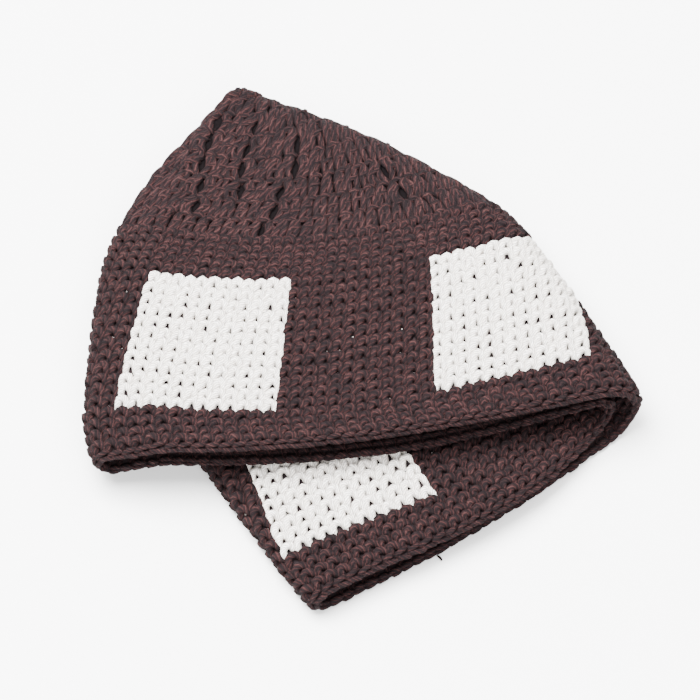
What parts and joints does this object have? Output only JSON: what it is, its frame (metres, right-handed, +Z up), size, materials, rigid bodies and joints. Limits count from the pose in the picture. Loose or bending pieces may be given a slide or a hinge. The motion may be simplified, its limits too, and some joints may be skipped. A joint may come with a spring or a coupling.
{
  "type": "kufi",
  "caption": "Soft brimless crocheted cap with light squares worked into a dark wall, pressed flat, folded in half and lying on a surface.",
  "frame": {"origin": "middle of the cap's box, on the surface that it lies on", "axes": "+Z up from the surface, +Y towards the tip of the crown, +X towards the outer fold"},
  "size_m": [0.1748, 0.1822, 0.0262],
  "materials": {
    "brown_yarn": "matte marled cotton yarn, dark brown with dull red",
    "white_yarn": "matte off-white cotton yarn"
  },
  "bodies": {
    "root": {"chain_edge": "brown_yarn", "lower_band": "brown_yarn", "white_square_1": "white_yarn", "white_square_2": "white_yarn", "white_square_3": "white_yarn", "white_square_4": "white_yarn", "white_square_5": "white_yarn", "white_square_6": "white_yarn", "brown_panel_1": "brown_yarn", "brown_panel_2": "brown_yarn", "brown_panel_3": "brown_yarn", "brown_panel_4": "brown_yarn", "brown_panel_5": "brown_yarn", "brown_panel_6": "brown_yarn", "upper_band": "brown_yarn", "crown": "brown_yarn"}
  },
  "joints": []
}
